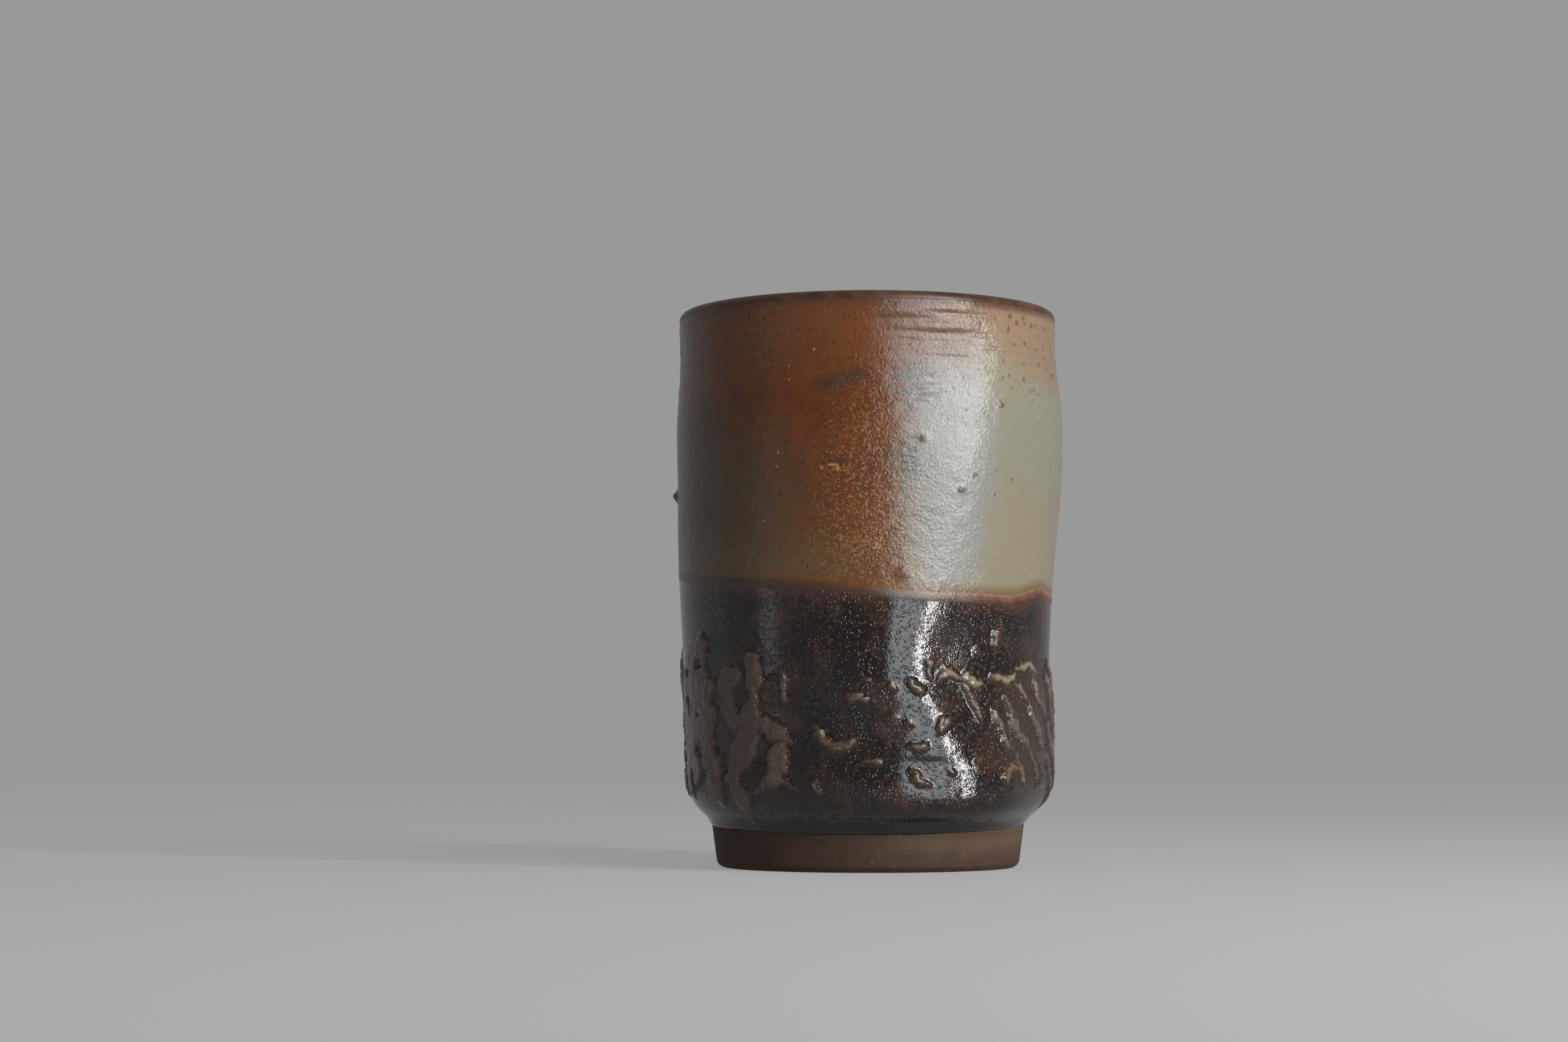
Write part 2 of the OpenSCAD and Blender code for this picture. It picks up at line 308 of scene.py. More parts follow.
# %% The potter's hand
tall = 100 * mm
belly_radius = float(max(radii))
lean_by_height = {0: 0, 5: 0, 20: 0.27, 39: -0.28, 57: -0.08, 76: 0.42, 95: 0, 100: 0}
twist_by_height = {0: 0, 8: -0.19, 12: -0.2, 20: -0.04, 27: 0.11, 34: 0.185, 42: 0.13, 50: 0.06,
                   60: -0.01, 75: -0.085, 90: -0.16, 100: -0.05}
line_by_height = {0: 30, 12: 30, 20: 28, 27: 20, 34: 16, 42: 19, 50: 23, 60: 27, 75: 31, 90: 35,
                  100: 36}
swell_by_height = {0: 0, 8: 0.5, 13: 0.9, 19: 0.6, 27: 0.1, 34: -0.1, 42: -0.45, 50: -0.75, 60: -0.55,
                   75: -0.1, 85: 0, 100: 0}
lower_pads = [(1.2, 26, 18, 10.5, 2.5), (1.4, 13, 10, 10.5, 9.5)]
twist_spread, swell_azimuth, swell_spread = 11 * mm, 20, 18 * mm
unevenness, unevenness_size = 0.3 * mm, 16 * mm
above_foot, below_rim = (4 * mm, 9 * mm), (96 * mm, 88 * mm)


def by_height(tree, height, listed):
    """A value that changes with the height as listed, in millimetres up."""
    most = max(abs(value) for value in listed.values())
    curve = put(tree, "ShaderNodeFloatCurve", 1.0, height / tall)
    mapping = curve.socket.node.mapping
    spots = [(level * mm / tall, 0.5 + value / most / 2) for level, value in listed.items()]
    points = mapping.curves[0].points
    points[0].location, points[-1].location = spots[0], spots[-1]
    for spot in spots[1:-1]:
        points.new(*spot)
    mapping.update()
    return (curve - 0.5) * (2 * most)


hand, feed = begin_tree("hand of the potter", "GeometryNodeTree", {"Place": (0.0, 0.0, 0.0)},
                        {"Place": "Vector"})
x, y, z = feed["Place"].parts()
turn = x.math("ARCTAN2", y * -1.0)
inward = noise(feed["Place"], unevenness_size, seed=3, detail=0.0) * unevenness - unevenness / 2
from_line = (turn - by_height(hand, z, line_by_height) * math.radians(1)) * belly_radius
inward = inward + by_height(hand, z, twist_by_height) * from_line * from_line.hill(twist_spread)
from_swell = (turn - math.radians(swell_azimuth)) * belly_radius
inward = inward - by_height(hand, z, swell_by_height) * mm * from_swell.hill(swell_spread)
for lift, azimuth, wide, level, high in lower_pads:
    from_pad = (turn - math.radians(azimuth)) * belly_radius
    inward = inward - lift * mm * from_pad.hill(wide * mm) * (z - level * mm).hill(high * mm)
inward = inward * z.rise(*above_foot) * z.rise(*below_rim)
held = feed["Place"].vector("SUBTRACT", join(x, y, 0.0).vector("NORMALIZE", None).scaled(inward))
lean = by_height(hand, z, lean_by_height) * mm
end_tree(hand, Place=held.vector("ADD", join(lean, 0.0, 0.0)))
print("the hand leans the wall by up to", max(lean_by_height.values()), "mm")

# %% [markdown]
# A tree makes each piece on an empty mesh. Its result is kept as a plain mesh at the origin, because
# the frame's pieces are plain meshes too, and the tree is taken off again.

# %% Keeping what a tree makes
def grown(name, tree, slot, replaced, **values):
    """Runs a tree with its inputs set by identifier, and keeps the result as a piece of the cup."""
    piece = bpy.data.objects.new(name, bpy.data.meshes.new(name))
    scene.collection.objects.link(piece)
    modifier = piece.modifiers.new(name, "NODES")
    modifier.node_group = tree
    for socket in tree.interface.items_tree:
        title = socket.name.replace(" ", "_")
        if socket.in_out == "INPUT" and title in values:
            modifier[socket.identifier] = values[title]
    graph = bpy.context.evaluated_depsgraph_get()
    mesh = bpy.data.meshes.new_from_object(piece.evaluated_get(graph), preserve_all_data_layers=True,
                                           depsgraph=graph)
    piece.modifiers.clear()
    piece.data = mesh
    mesh.name = name
    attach(piece, "root")
    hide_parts(*replaced)
    mesh.calc_loop_triangles()
    print(name, "has", len(mesh.loop_triangles), "triangles")


def finished(tree, mesh, finish, sharpest):
    """Closes seams and poles, smooths all but the sharp edges, and ends in the finish."""
    closed = put(tree, "GeometryNodeMergeByDistance", mesh, named={"Distance": hair})
    smooth = put(tree, "GeometryNodeSetShadeSmooth", closed, named={"Shade Smooth": True})
    angle = put(tree, "GeometryNodeInputMeshEdgeAngle")
    sharp = put(tree, "FunctionNodeCompare", angle, math.radians(sharpest), operation="GREATER_THAN")
    edged = put(tree, "GeometryNodeSetShadeSmooth", smooth,
                named={"Selection": sharp, "Shade Smooth": False}, domain="EDGE")
    real = put(tree, "GeometryNodeRealizeInstances", edged)
    return put(tree, "GeometryNodeSetMaterial", real, named={"Material": finish})


# %% [markdown]
# A node tree can't look up a radius in a list, but it can read the corners of a string. Between the two
# corners next to a height it takes the radius in proportion.

# %% The wall's radius at a height
def corner_at(string, number):
    """Where the numbered corner of a string lies: its radius, nought, and its height."""
    place = put(string.tree, "GeometryNodeInputPosition")
    return put(string.tree, "GeometryNodeSampleIndex", string, named={"Value": place, "Index": number},
               data_type="FLOAT_VECTOR", clamp=True).parts()


radius_tree, feed = begin_tree("wall radius", "GeometryNodeTree",
                               {"Wall": "Geometry", "Height": 0.0}, {"Radius": "Float"})
string = feed["Wall"]
place = (feed["Height"] - corner_at(string, 0)[2]) / wall_step
whole = place.math("FLOOR")
below, above = corner_at(string, whole)[0], corner_at(string, whole + 1)[0]
end_tree(radius_tree, Radius=below + (above - below) * (place - whole))
print("the wall's radius takes", len(radius_tree.nodes), "nodes")

# %% [markdown]
# Each outside coat is a thin skin. A turned shell could be cut by planes, but its edges would then be
# dead straight, and a glaze stops in a wavy line. So a grid is bent round the wall, with an outer side,
# a cut edge at the top, an inner side against the clay and a cut edge at the bottom, and its edges follow
# the frame's slanting cuts with a waviness of their own. Where the two coats meet, the line also swells
# in two places, each with its azimuth, its width in degrees and its rise in millimetres.

# %% The grid of a glaze coat
line_swells = [(-14, 24, 0.7), (66, 9, 1.4)]
line_wave = 0.5 * mm
line_zone = (20 * mm, 40 * mm), (80 * mm, 60 * mm)
calm_rim = (92 * mm, 80 * mm)

coat, feed = begin_tree(
    "glaze coat", "GeometryNodeTree",
    {"Finish": "Material", "Wall": "Object", "Strokes": "Object", "Columns": 480, "Rows": 120,
     "Inner Rows": 16, "Lower": (0.0, 0.0, 0.0), "Upper": (0.0, 0.0, 0.0), "Thickness": 0.5 * mm,
     "Crown": 0.0, "Edge Roll": 0.0, "Slip Rise": 0.0, "Throwing": 0.0},
    {"Geometry": "Geometry"})
wall_shape = put(coat, "GeometryNodeObjectInfo", feed["Wall"], out="Geometry")
strokes = put(coat, "GeometryNodeObjectInfo", feed["Strokes"], out="Geometry")
grid = put(coat, "GeometryNodeMeshGrid", 1.0, 1.0, feed["Columns"] + 1,
           feed["Rows"] + feed["Inner Rows"] + 1)
across, up, _ = put(coat, "GeometryNodeInputPosition").parts()
turn = across * (2 * math.pi)
side, front = turn.math("SINE"), turn.math("COSINE") * -1.0
row = (up + 0.5) * (feed["Rows"] + feed["Inner Rows"])
inner_row = row - (feed["Rows"] - 1)
inside = inner_row.math("GREATER_THAN", 0.5)
closing = inner_row.math("GREATER_THAN", feed["Inner Rows"] + 0.5)
rising = row / (feed["Rows"] - 1)
falling = put(coat, "ShaderNodeClamp", 1 - (inner_row - 1) / (feed["Inner Rows"] - 1))
share = rising + (falling - rising) * inside


def radius_at(height):
    return use(coat, radius_tree, {"Wall": wall_shape, "Height": height})["Radius"]


def edge_height(plane):
    """Height of a cut all round the wall: its slant, a soft wave, and swells on the glaze line."""
    middle, slope_x, slope_y = plane.parts()
    slant = (slope_x * side + slope_y * front) * radius_at(middle)
    wave = noise(join(side * 2.2, front * 2.2, middle * 60), 1.0, seed=11) - 0.5
    height = middle + slant + wave * middle.rise(*calm_rim) * (2 * line_wave)
    on_line = middle.rise(*line_zone[0]) * middle.rise(*line_zone[1])
    for azimuth, width, rise in line_swells:
        off = put(coat, "ShaderNodeMath", turn - math.radians(azimuth), math.pi, -math.pi,
                  operation="WRAP")
        height = height + off.hill(math.radians(width)) * (rise * mm) * on_line
    return height


lower, upper = edge_height(feed["Lower"]), edge_height(feed["Upper"])
height = lower + (upper - lower) * share
radius = radius_at(height)
surface = join(side * radius, front * radius, height)
print("the coat's grid takes", len(coat.nodes), "nodes")

# %% [markdown]
# On the lower coat the slip shows as relief. Joining the strokes to the coat would leave hard corners,
# where the glaze has eased over everything. So each spot of glaze asks how far it lies from the sides of
# the frame's strokes, and whether a stroke covers it, which gives a distance with a sign. It looks for
# them a little astray, so that no edge runs true. At the left the strokes have melted together, and
# between them lie small drops.

# %% Slip under the glaze
stray_size, stray_reach = 4.5 * mm, 3 * mm
fray_size, fray_reach = 1.3 * mm, 2.2 * mm
slip_foot, slip_crest = 0.4 * mm, -0.7 * mm
melt_azimuth, melt_width, melt_size, melt_reach = -63, 24, 5 * mm, 1.8 * mm
drop_spacing, drop_share, drop_rise = 3.2 * mm, 0.4, 0.6
drop_zone = (12 * mm, 15 * mm), (42 * mm, 30 * mm)
middle_grey = (0.5, 0.5, 0.5)

normal = put(coat, "GeometryNodeInputNormal")
stroke_x, stroke_y, _ = put(coat, "GeometryNodeInputPosition").parts()
radial = join(stroke_x, stroke_y, 0.0).vector("NORMALIZE", None)
facing = normal.vector("DOT_PRODUCT", radial, out=1).math("ABSOLUTE")
skins = put(coat, "FunctionNodeCompare", facing, 0.7, operation="GREATER_THAN")
stroke_sides = put(coat, "GeometryNodeDeleteGeometry", strokes, skins, domain="FACE")

stray = noise(surface, stray_size, seed=21, out=1).vector("SUBTRACT", middle_grey)
fray = noise(surface, fray_size, seed=22, out=1).vector("SUBTRACT", middle_grey)
stray_x, _, stray_z = stray.parts()
fray_x, _, fray_z = fray.parts()
look_turn = turn + (stray_x * stray_reach + fray_x * fray_reach) / radius
look_height = height + stray_z * stray_reach + fray_z * fray_reach
look_radius = radius_at(look_height) + feed["Slip Rise"] / 2
look_side, look_front = look_turn.math("SINE"), look_turn.math("COSINE") * -1.0
look = join(look_side * look_radius, look_front * look_radius, look_height)
gap = put(coat, "GeometryNodeProximity", stroke_sides, named={"Source Position": look},
          out="Distance", target_element="FACES")
far = look_radius + 5 * mm
covered = put(coat, "GeometryNodeRaycast", strokes,
              named={"Source Position": join(look_side * far, look_front * far, look_height),
                     "Ray Direction": join(look_side * -1.0, look_front * -1.0, 0.0),
                     "Ray Length": 6 * mm}, out="Is Hit")
signed = gap * (1 - covered * 2)

melt = noise(surface, melt_size, seed=23).rise(0.38, 0.6)
melt = melt * (turn - math.radians(melt_azimuth)).hill(math.radians(melt_width))
stroke = (signed - melt * melt_reach).rise(slip_foot, slip_crest)
cells = put(coat, "ShaderNodeTexVoronoi", look, named={"Scale": 1 / drop_spacing}).socket.node
chance, size, _ = Wire(coat, cells.outputs["Color"]).parts()
drop_edge = 0.12 + size * 0.22
drop = Wire(coat, cells.outputs["Distance"]).rise(drop_edge, drop_edge * 0.3)
among_strokes = height.rise(*drop_zone[0]) * height.rise(*drop_zone[1])
drops = drop * chance.math("LESS_THAN", drop_share) * among_strokes
slip = stroke.math("MAXIMUM", drops * drop_rise)
top = 0.5 + noise(surface, 1.6 * mm, seed=24) * 0.9
relief = slip * top * feed["Slip Rise"]
print("with the slip the coat takes", len(coat.nodes), "nodes")

# %% [markdown]
# The outer surface adds the small forms: the slip, a few scars and a nub, the rings that fingers left
# below the lip, the crown of the line, and the rolled edge where the glaze stopped running. A scar has
# an azimuth, a height, a size and a lift, and with a lift below nought it is a hole. How much slip lies
# at a spot, and how far the coat's edges are, stays on the mesh for the finishes to read.

# %% The outer surface of a coat
scars = [(-88, 65, 0.9, 0.9), (-9.3, 68, 0.9, -0.2), (11, 50, 1.1, 0.35), (40, 78.5, 0.7, 0.3),
         (15.7, 72.4, 0.7, 0.25), (28, 64, 0.6, 0.25), (2, 54, 0.6, 0.2)]
throwing_pitch, throwing_zone = 1.3 * mm, (78 * mm, 88 * mm)
throwing_azimuth, throwing_width, throwing_least = 30, 40, 0.35


def on_wall(azimuth, height):
    """A place on the wall, from degrees round from the front and millimetres up."""
    turn = math.radians(azimuth)
    radius = np.interp(height * mm, heights, radii)
    return (radius * math.sin(turn), -radius * math.cos(turn), height * mm)


scarring = 0.0
for azimuth, level, size, lift in scars:
    away = surface.vector("DISTANCE", on_wall(azimuth, level), out=1)
    scarring = scarring + away.hill(size * mm) * (lift * mm)
finger_rings = noise(join(side * 1.4, front * 1.4, height / throwing_pitch), 1.0, seed=31) - 0.5
pressed = (turn - math.radians(throwing_azimuth)).hill(math.radians(throwing_width))
pressed = throwing_least + (1 - throwing_least) * pressed
throwing = finger_rings * height.rise(*throwing_zone) * feed["Throwing"] * pressed
crown = (1 - (share * 2 - 1) * (share * 2 - 1)) * feed["Crown"]
from_edge = put(coat, "ShaderNodeClamp", (height - lower + hair) / (feed["Edge Roll"] + hair))
roll = 1 - (1 - (1 - from_edge) * (1 - from_edge)).math("SQRT")
inset = put(coat, "ShaderNodeMath", inside * (1 - closing), roll, operation="MAXIMUM")
outer = radius + relief + scarring + crown + throwing - inset * feed["Thickness"]
placed = use(coat, hand, {"Place": join(side * outer, front * outer, height)})["Place"]
marked = grid
for title, value in (("slip", slip), ("above_edge", (height - lower) / mm),
                     ("below_edge", (upper - height) / mm)):
    marked = put(coat, "GeometryNodeStoreNamedAttribute", marked,
                 named={"Name": title, "Value": value}, data_type="FLOAT", domain="POINT")
bent = put(coat, "GeometryNodeSetPosition", marked, named={"Position": placed})
end_tree(coat, Geometry=finished(coat, bent, feed["Finish"], sharpest=50))
print("the whole tree of a coat has", len(coat.nodes), "nodes")

# %% [markdown]
# The other pieces are turned: an outline from the frame carried round the axis. A Screw modifier does
# that too, but turning leaves fine rings on the bare foot, throwing leaves broader ones inside the cup,
# and a tree can let both ride on the outline.

# %% The tree of a turned piece
turned, feed = begin_tree(
    "turned piece", "GeometryNodeTree",
    {"Finish": "Material", "Outline": "Object", "Columns": 300, "Ring Depth": 0.0,
     "Ring Pitch": 1 * mm}, {"Geometry": "Geometry"})
outline = put(turned, "GeometryNodeObjectInfo", feed["Outline"], out="Geometry")
count = put(turned, "GeometryNodeAttributeDomainSize", outline, component="MESH")
grid = put(turned, "GeometryNodeMeshGrid", 1.0, 1.0, feed["Columns"] + 1, count)
across, up, _ = put(turned, "GeometryNodeInputPosition").parts()
turn = across * (2 * math.pi)
side, front = turn.math("SINE"), turn.math("COSINE") * -1.0
row = ((up + 0.5) * (count - 1)).math("ROUND")
radius, _, height = corner_at(outline, row)
pitch = feed["Ring Pitch"]
ringed = noise(join(side * 0.5, front * 0.5, (height + radius * 0.6) / pitch), 1.0, seed=41) - 0.5
outer = radius + ringed * feed["Ring Depth"] * radius.rise(2 * mm, 8 * mm)
placed = use(turned, hand, {"Place": join(side * outer, front * outer, height)})["Place"]
bent = put(turned, "GeometryNodeSetPosition", grid, named={"Position": placed})
end_tree(turned, Geometry=finished(turned, bent, feed["Finish"], sharpest=40))


def refined(outline, longest):
    """The outline with more corners, so that no step climbs by more than the given length."""
    steps = np.abs(np.diff(outline, axis=0)) @ (0.1, 1)
    counts = np.maximum(1, np.ceil(steps / longest).astype(int))
    runs = [np.linspace(start, end, count, endpoint=False)
            for start, end, count in zip(outline[:-1], outline[1:], counts)]
    return np.vstack(runs + [outline[-1:]])


print("the turning tree has", len(turned.nodes), "nodes")

# %% [markdown]
# The finishes are all fired glaze or bare clay, so they share a few effects, each a shader group: where
# a place lies round the wall, a soft-edged patch of colour at an azimuth and height, scattered specks,
# and the dimpled skin that potters call orange peel. Sizes are in millimetres on the cup.

# %% Effects that the finishes share
round_wall, _ = begin_tree("round the wall", "ShaderNodeTree", {},
                           {"Azimuth": "Float", "Height": "Float", "Place": "Vector"})
x, y, z = put(round_wall, "ShaderNodeTexCoord", out="Object").parts()
spread = join(x / mm, y / mm, z / mm)
end_tree(round_wall, Azimuth=x.math("ARCTAN2", y * -1.0) * math.degrees(1), Height=z / mm, Place=spread)

patch, feed = begin_tree(
    "patch", "ShaderNodeTree",
    {"Azimuth": 0.0, "Height": 0.0, "Half Width": 10.0, "Half Height": 10.0, "Softness": 0.3,
     "Raggedness": 0.3, "Grain": 10.0, "Seed": 0.0}, {"Mask": "Float"})
spot = use(patch, round_wall)
off = put(patch, "ShaderNodeMath", spot["Azimuth"] - feed["Azimuth"], 180.0, -180.0, operation="WRAP")
wide = off / feed["Half Width"]
high = (spot["Height"] - feed["Height"]) / feed["Half Height"]
ragged = noise(spot["Place"], feed["Grain"], feed["Seed"], detail=3.0) - 0.5
reach = (wide * wide + high * high).math("SQRT") + ragged * feed["Raggedness"] * 2
end_tree(patch, Mask=reach.rise(1 + feed["Softness"], 1 - feed["Softness"]))

specks, feed = begin_tree("specks", "ShaderNodeTree",
                          {"Spacing": 2.0, "Size": 0.3, "Share": 0.5, "Seed": 0.0}, {"Mask": "Float"})
place = use(specks, round_wall)["Place"].vector("ADD", join(feed["Seed"], feed["Seed"], 0.0))
cells = put(specks, "ShaderNodeTexVoronoi", place, named={"Scale": 1 / feed["Spacing"]}).socket.node
chance, size, _ = Wire(specks, cells.outputs["Color"]).parts()
edge = feed["Size"] / feed["Spacing"] * (0.4 + size * 0.6)
blot = Wire(specks, cells.outputs["Distance"]).rise(edge, edge * 0.5)
end_tree(specks, Mask=blot * chance.math("LESS_THAN", feed["Share"]))

peel, feed = begin_tree("orange peel", "ShaderNodeTree", {"Dimple": 0.6, "Seed": 0.0},
                        {"Height": "Float"})
place = use(peel, round_wall)["Place"]
dimples = noise(place, feed["Dimple"], feed["Seed"], detail=1.0)
swells = noise(place, feed["Dimple"] * 4, feed["Seed"], detail=0.0)
end_tree(peel, Height=dimples + swells)
print("shared effects:", ", ".join(tree.name for tree in (round_wall, patch, specks, peel)))

# %% [markdown]
# Every finish begins with a shader and the values that are the same all over, and ends with its colour,
# its roughness and a bump. In between, one colour is laid over another through a mask, as a glaze is
# laid over clay. A zone has its middle in degrees round from the front and millimetres up, a half width
# and a half height, a softness and a raggedness of its edge, and the grain of that raggedness. A patch
# has a colour and a strength before these.

# %% Beginning and ending a finish
def begin_finish(name, **settings):
    """A material and its tree, with the values of the shader that are the same all over."""
    material = bpy.data.materials.new(name)
    material.use_nodes = True
    shader = material.node_tree.nodes["Principled BSDF"]
    for socket, value in settings.items():
        shader.inputs[socket.replace("_", " ")].default_value = value
    return material, material.node_tree


def end_finish(material, colour, roughness, height, depth):
    """Joins colour, roughness and a bump of the given depth in millimetres to the shader."""
    tree = material.node_tree
    shader = tree.nodes["Principled BSDF"]
    bump = put(tree, "ShaderNodeBump",
               named={"Height": height, "Strength": 1.0, "Distance": depth * mm})
    for socket, wire in (("Base Color", colour), ("Roughness", roughness), ("Normal", bump)):
        tree.links.new(wire.socket, shader.inputs[socket])
    print(material.name, "has", len(tree.nodes), "nodes")


def blend(mask, under, over):
    """One colour over another where the mask is."""
    under, over = [colour if isinstance(colour, Wire) else (*colour, 1) for colour in (under, over)]
    return put(mask.tree, "ShaderNodeMix", mask, out=2, named={6: under, 7: over}, data_type="RGBA")


def attribute(tree, name):
    """What the coat's tree has stored on the mesh."""
    return put(tree, "ShaderNodeAttribute", out="Fac", attribute_name=name)


def zone(tree, *shape, seed=0.0):
    """A part of the wall as a mask with a soft edge."""
    titles = ("Azimuth", "Height", "Half Width", "Half Height", "Softness", "Raggedness", "Grain")
    return use(tree, patch, dict(zip(titles, shape)) | {"Seed": seed})["Mask"]


def patches(tree, colour, listed, through=1.0):
    """Lays patches of colour one over the other, seen through a mask where one is given."""
    for number, (paint, strength, *shape) in enumerate(listed):
        mask = zone(tree, *shape, seed=number + 0.5)
        colour = blend(mask * through * strength, colour, paint)
    return colour


def scatter(tree, spacing, size, share, seed):
    """Specks as a mask: their spacing and size, and the share of places that have one."""
    return use(tree, specks, {"Spacing": spacing, "Size": size, "Share": share, "Seed": seed})["Mask"]


def dimpled(tree, dimple, seed):
    """The height of a dimpled skin, from the size of a dimple."""
    return use(tree, peel, {"Dimple": dimple, "Seed": seed})["Height"]


print("finishes can be begun")

# %% [markdown]
# The upper coat is an ash glaze over iron-rich clay. Where the flame licked it the iron came through
# as rust, away from it the glaze turned olive, and on the lee side, where it lies thickest, pale sage.
# A painted picture could hold those zones. They are large and soft, though, so each is a patch, which
# stays clear from close to and is moved by a number. Grey streaks cross the front inside the window's
# reflection, partly smoke marks in the glaze and partly painted reflection of darker spots in the
# window, and each raised scar is red.

# %% The zones of the ash glaze
rust, deep_rust, low_rust = (0.185, 0.045, 0.005), (0.125, 0.031, 0.004), (0.155, 0.057, 0.009)
olive, olive_light, top_brown = (0.1, 0.068, 0.033), (0.15, 0.108, 0.055), (0.17, 0.062, 0.02)
sage, sage_blue, pink_tan = (0.285, 0.248, 0.165), (0.265, 0.252, 0.185), (0.31, 0.19, 0.115)
silver_and_painted_sheen, smoke_and_dark_reflection, soot = (0.27, 0.272, 0.25), (0.095, 0.094, 0.075), (0.05, 0.03, 0.02)
brown_pink, bared_clay, dark_iron = (0.17, 0.09, 0.05), (0.5, 0.26, 0.08), (0.07, 0.024, 0.01)
scar_red, scarred_radius = (0.1, 0.027, 0.014), 33

ash_glaze, tree = begin_finish("ash glaze", IOR=1.55)
spot = use(tree, round_wall)
mottle = noise(spot["Place"], 5, seed=1, detail=5.0)
colour = blend(mottle.rise(0.3, 0.75), deep_rust, rust)
colour = blend(spot["Height"].rise(70, 50) * 0.8, colour, low_rust)
colour = patches(tree, colour, [
    (olive, 0.95, -88, 62, 62, 21, 0.4, 0.2, 14),
    (olive_light, 0.7, -66, 50, 54, 6, 0.6, 0.4, 10),
    (olive, 0.9, 190, 66, 40, 22, 0.35, 0.4, 18),
    (sage, 1.0, 83, 60, 71, 48, 0.1, 0.14, 1.2),
    (sage_blue, 0.9, 75, 74, 50, 9, 0.5, 0.3, 12),
    (top_brown, 0.85, -75, 93, 70, 12, 0.4, 0.3, 12),
    # Partly painted reflection: this pale grey lies where the window's broad reflection falls and
    # lightens that part as the reflection does, over a paler glaze.
    (silver_and_painted_sheen, 0.9, 25, 66, 14, 22, 0.5, 0.3, 4),
    (brown_pink, 0.85, 20, 93, 16, 8, 0.5, 0.5, 4),
    (pink_tan, 0.9, 78, 93, 42, 9.5, 0.35, 0.35, 5),
    (soot, 0.75, -10, 81.6, 5, 0.9, 0.9, 0.8, 2),
    (soot, 0.75, -4, 82.8, 5, 1.0, 0.9, 0.8, 2),
    (dark_iron, 0.8, -9.3, 68.5, 2.2, 0.4, 0.6, 0.8, 0.8),
    (bared_clay, 0.9, -9.9, 67.9, 1.2, 0.2, 0.5, 0.8, 0.4),
    (bared_clay, 0.9, -8.4, 67.5, 0.5, 0.6, 0.5, 0.8, 0.4),
    (bared_clay, 0.8, -13, 67.4, 0.4, 0.3, 0.5, 0.8, 0.4),
])
streaks = noise(spot["Place"].vector("MULTIPLY", (0.4, 0.4, 1.8)), 1.0, seed=18, detail=3.0)
# Partly painted reflection: these grey streaks are smoke marks and also stand for darker spots in the
# window's reflection.
colour = patches(tree, colour, [
    (smoke_and_dark_reflection, 1.0, 14, 81.7, 8, 4, 0.5, 0.5, 2),
    (smoke_and_dark_reflection, 0.9, 11, 68.7, 5, 3.2, 0.5, 0.5, 2),
], through=streaks.rise(0.4, 0.58))
for azimuth, level, size, lift in scars:
    if lift > 0:
        wide = math.degrees(size / scarred_radius)
        scar = (scar_red, 0.85, azimuth, level, wide, 0.9 * size, 0.5, 1.2, 0.6)
        colour = patches(tree, colour, [scar])
print("the zones of the ash glaze take", len(tree.nodes), "nodes")

# %% [markdown]
# Over the zones lie small things: iron specks and pale grains, pits where gas broke through, red spots
# on the pink below the lip, and a grit of iron and golden grains where the rust meets the sage. The skin
# is rougher there too, so that the light glitters along the edge of its reflection.

# %% The specks and the skin of the ash glaze
cream, golden, below_lip = (0.55, 0.42, 0.28), (0.36, 0.2, 0.08), (0.09, 0.036, 0.018)

lee = zone(tree, 82, 60, 66, 48)
near_lee = zone(tree, 2, 60, 15, 20, 0.7)
blush = zone(tree, 62, 90, 34, 9, 0.5)
iron = scatter(tree, 0.9, 0.4, 0.45, seed=3)
dark_specks = scatter(tree, 2.6, 0.5, 0.3, seed=5)
grains = scatter(tree, 2.1, 0.32, 0.2, seed=9)
pits = scatter(tree, 5.0, 0.7, 0.25, seed=12)
spots = scatter(tree, 1.3, 0.7, 0.45, seed=23)
dust = scatter(tree, 0.55, 0.34, 0.6, seed=31)
fine = noise(spot["Place"], 0.5, seed=14, detail=2.0)
grit = noise(spot["Place"], 0.42, seed=15, detail=1.0)
colour = blend(fine.rise(0.45, 0.75) * (0.35 - lee * 0.25), colour, deep_rust)
colour = blend(iron * (0.8 - lee * 0.7), colour, dark_iron)
colour = blend(dark_specks * (0.7 - lee * 0.3), colour, soot)
colour = blend(grains * 0.5, colour, cream)
colour = blend(grit.rise(0.52, 0.72) * near_lee * 0.7, colour, dark_iron)
colour = blend(grit.rise(0.46, 0.3) * near_lee * 0.6, colour, golden)
colour = blend(dust * near_lee * 0.6, colour, golden)
colour = blend((spots * blush).math("MAXIMUM", pits) * 0.6, colour, scar_red)
colour = blend(attribute(tree, "above_edge").rise(2.2, 0.0) * 0.7, colour, low_rust)
colour = blend(spot["Height"].rise(94.2, 95.6) * 0.8, colour, below_lip)
grainy = 0.5 + mottle + blush * 0.6 + near_lee * 0.8
skin = dimpled(tree, 0.46, seed=2) * grainy + dark_specks * 0.4 - pits * 1.2
end_finish(ash_glaze, colour, 0.23 + mottle * 0.12, skin, depth=0.085)

# %% [markdown]
# Where the two coats overlap, the iron below bleeds into the ash above and fires to a red-brown line,
# brighter on the sage side. At the front, where the window's reflection crosses it, the line is painted
# grey, a painted reflection that lets it merge into the silver above. The line waves, so its colours go
# by the way from its lower to its upper edge, which the coat's tree has stored, and not by the height.

# %% Overlap line
bleed, line_brown, line_red = (0.07, 0.027, 0.017), (0.07, 0.03, 0.018), (0.11, 0.042, 0.022)
line_olive, line_pink, line_reflection_grey = (0.05, 0.034, 0.025), (0.2, 0.07, 0.046), (0.12, 0.1, 0.085)

